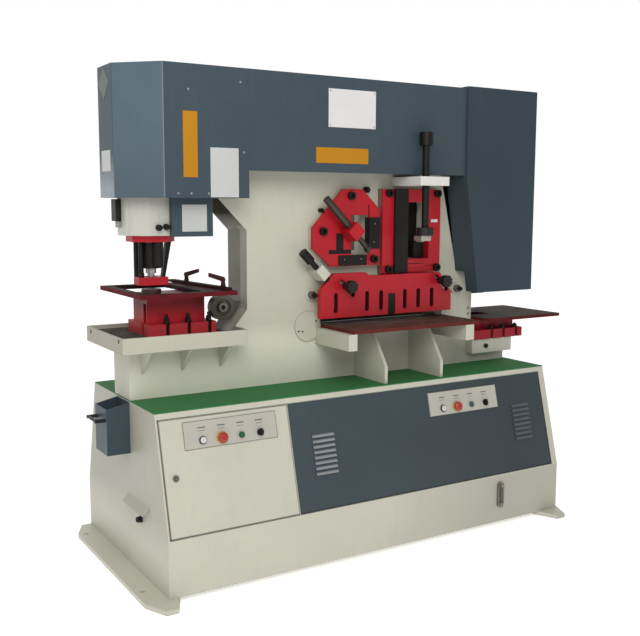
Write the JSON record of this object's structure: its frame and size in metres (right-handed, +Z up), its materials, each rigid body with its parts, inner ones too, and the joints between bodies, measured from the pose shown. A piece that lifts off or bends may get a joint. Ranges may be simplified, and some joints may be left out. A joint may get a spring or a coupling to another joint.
{
  "type": "hydraulic ironworker",
  "caption": "Hydraulic ironworker on a base cabinet: punch end, flat bar shear, angle and section shears, notcher, covers, controls and slug bin.",
  "frame": {"origin": "on the floor, midway between the two anchor holes of the left foot bar", "axes": "+X along the machine from the punch end to the notching end, -Y towards the operator, +Z up"},
  "size_m": [2.5155, 1.083, 2.119],
  "materials": {
    "cream_paint": "semi-gloss paint, lightly soiled",
    "blue_paint": "semi-gloss blue grey paint",
    "red_paint": "gloss red paint",
    "green_mat": "ribbed green rubber",
    "control_plate": "satin",
    "bright_steel": "machined, oiled",
    "black_steel": "black oxide",
    "worn_plate": "worn dark paint with bare steel",
    "black_plastic": "moulded",
    "red_plastic": "moulded",
    "green_plastic": "moulded",
    "blue_plastic": "moulded",
    "cast_grey": "painted grey"
  },
  "bodies": {
    "machine": {"base_cabinet": "cream_paint", "top_mat": "green_mat", "front_cover_panel": "blue_paint", "right_control_plate": "control_plate", "oil_sight_gauge": "bright_steel", "cable_gland": "black_plastic", "slug_bin": "blue_paint", "bin_handle": "black_steel", "front_frame_plate": "cream_paint", "rear_frame_plate": "cream_paint", "left_hood": "blue_paint", "mid_cover": "blue_paint", "right_cover": "blue_paint", "punch_cylinder": "cream_paint", "cylinder_flange": "red_paint", "stripper_posts": "black_steel", "stripper_foot": "red_paint", "punch_table": "worn_plate", "die_bolster": "red_paint", "punch_die": "bright_steel", "drip_tray": "cream_paint", "flat_shear_table": "worn_plate", "frame_brackets": "cream_paint", "fixed_blades": "black_steel", "angle_shear_plate": "red_paint", "section_shear_plate": "red_paint", "clamp_bolts": "black_steel", "throat_boss": "cream_paint", "pivot_pin": "bright_steel", "notch_table": "worn_plate", "notch_die_block": "red_paint", "shear_cylinder": "cream_paint", "electrics_plate": "bright_steel", "power_unit": "cast_grey"},
    "door": {"cabinet_door": "cream_paint", "left_control_plate": "control_plate"},
    "door_lock": {"door_lock": "bright_steel"},
    "left_estop": {"left_estop": "red_plastic"},
    "left_start_button": {"left_start_button": "green_plastic"},
    "left_selector": {"left_selector": "black_plastic"},
    "right_estop": {"right_estop": "red_plastic"},
    "right_start_button": {"right_start_button": "blue_plastic"},
    "right_selector": {"right_selector": "black_plastic"},
    "punch_ram": {"punch_ram": "bright_steel", "ram_coupling": "black_steel", "punch": "bright_steel"},
    "shear_beam": {"shear_beam": "cream_paint", "beam_blades": "bright_steel"},
    "shear_ram": {"shear_ram": "bright_steel"},
    "flat_holddown": {"flat_holddown": "red_paint"},
    "flat_screw": {"flat_screw": "black_steel"},
    "left_clamp_knob": {"left_clamp_knob": "black_plastic"},
    "right_clamp_knob": {"right_clamp_knob": "black_plastic"},
    "angle_foot": {"angle_foot": "bright_steel"},
    "angle_screw": {"angle_screw": "black_steel"},
    "section_foot": {"section_foot": "bright_steel"},
    "section_screw": {"section_screw": "black_steel"},
    "fence": {"fence": "worn_plate"},
    "front_clamp_lever": {"front_clamp_lever": "black_plastic"},
    "rear_clamp_lever": {"rear_clamp_lever": "black_plastic"}
  },
  "joints": [
    {"name": "door_hinge", "type": "hinge", "parent": "machine", "child": "door", "pos_m": [0.654, -0.498, 0.253], "axis": [0, 0.2515, 0.9679], "range_deg": [0, 110]},
    {"name": "door_lock_turn", "type": "hinge", "parent": "door", "child": "door_lock", "pos_m": [0.122, -0.43814, 0.48335], "axis": [0, -0.9679, 0.2515], "range_deg": [0, 90]},
    {"name": "left_estop_press", "type": "slide", "parent": "door", "child": "left_estop", "axis": [0, 0.9679, -0.2515], "range_m": [0, 0.005], "stiffness_N_per_m": 900},
    {"name": "left_start_press", "type": "slide", "parent": "door", "child": "left_start_button", "axis": [0, 0.9679, -0.2515], "range_m": [0, 0.005], "stiffness_N_per_m": 900},
    {"name": "left_selector_turn", "type": "hinge", "parent": "door", "child": "left_selector", "pos_m": [0.511, -0.40443, 0.61304], "axis": [0, -0.9679, 0.2515], "range_deg": [-45, 45]},
    {"name": "right_estop_press", "type": "slide", "parent": "machine", "child": "right_estop", "axis": [0, 0.9679, -0.2515], "range_m": [0, 0.005], "stiffness_N_per_m": 900},
    {"name": "right_start_press", "type": "slide", "parent": "machine", "child": "right_start_button", "axis": [0, 0.9679, -0.2515], "range_m": [0, 0.005], "stiffness_N_per_m": 900},
    {"name": "right_selector_turn", "type": "hinge", "parent": "machine", "child": "right_selector", "pos_m": [1.742, -0.40795, 0.59949], "axis": [0, -0.9679, 0.2515], "range_deg": [-45, 45]},
    {"name": "punch_stroke", "type": "slide", "parent": "machine", "child": "punch_ram", "axis": [0, 0, -1], "range_m": [0, 0.032]},
    {"name": "beam_swing", "type": "hinge", "parent": "machine", "child": "shear_beam", "pos_m": [0.924, 0, 0.994], "axis": [0, 1, 0], "range_deg": [0, 6]},
    {"name": "shear_ram_stroke", "type": "slide", "parent": "machine", "child": "shear_ram", "axis": [0, 0, -1], "range_m": [0, 0.111]},
    {"name": "flat_holddown_slide", "type": "slide", "parent": "machine", "child": "flat_holddown", "axis": [0.7071, 0, -0.7071], "range_m": [-0.012, 0.014]},
    {"name": "flat_screw_turn", "type": "hinge", "parent": "flat_holddown", "child": "flat_screw", "pos_m": [0.991, -0.166, 1.209], "axis": [0.7071, 0, -0.7071], "range_deg": [-370, 430]},
    {"name": "left_knob_turn", "type": "hinge", "parent": "machine", "child": "left_clamp_knob", "pos_m": [1.08, -0.2, 1.18], "axis": [0, 1, 0], "range_deg": [-180, 180]},
    {"name": "right_knob_turn", "type": "hinge", "parent": "machine", "child": "right_clamp_knob", "pos_m": [1.635, -0.2, 1.183], "axis": [0, 1, 0], "range_deg": [-180, 180]},
    {"name": "angle_foot_slide", "type": "slide", "parent": "machine", "child": "angle_foot", "axis": [0.7071, 0, -0.7071], "range_m": [-0.02, 0.014]},
    {"name": "angle_screw_turn", "type": "hinge", "parent": "angle_foot", "child": "angle_screw", "pos_m": [1.12, -0.185, 1.43], "axis": [0.7071, 0, -0.7071], "range_deg": [-610, 430]},
    {"name": "section_foot_slide", "type": "slide", "parent": "machine", "child": "section_foot", "axis": [0, 0, -1], "range_m": [-0.02, 0.06]},
    {"name": "section_screw_turn", "type": "hinge", "parent": "section_foot", "child": "section_screw", "pos_m": [1.462, -0.278, 1.6], "axis": [0, 0, -1], "range_deg": [-610, 1810]},
    {"name": "fence_slide", "type": "slide", "parent": "machine", "child": "fence", "axis": [1, 0, 0], "range_m": [-0.025, 0.012]},
    {"name": "front_lever_turn", "type": "hinge", "parent": "fence", "child": "front_clamp_lever", "pos_m": [0.45806, -0.17937, 1.22], "axis": [0, 0, 1], "range_deg": [-40, 40]},
    {"name": "rear_lever_turn", "type": "hinge", "parent": "fence", "child": "rear_clamp_lever", "pos_m": [0.43045, 0.14947, 1.22], "axis": [0, 0, 1], "range_deg": [-40, 40]}
  ],
  "couplings": [
    {"joint": "shear_ram_stroke", "follows": "beam_swing", "m_per_rad": 1.05},
    {"joint": "flat_screw_turn", "follows": "flat_holddown_slide", "rad_per_m": 523.6},
    {"joint": "angle_screw_turn", "follows": "angle_foot_slide", "rad_per_m": 523.6},
    {"joint": "section_screw_turn", "follows": "section_foot_slide", "rad_per_m": 523.6}
  ]
}
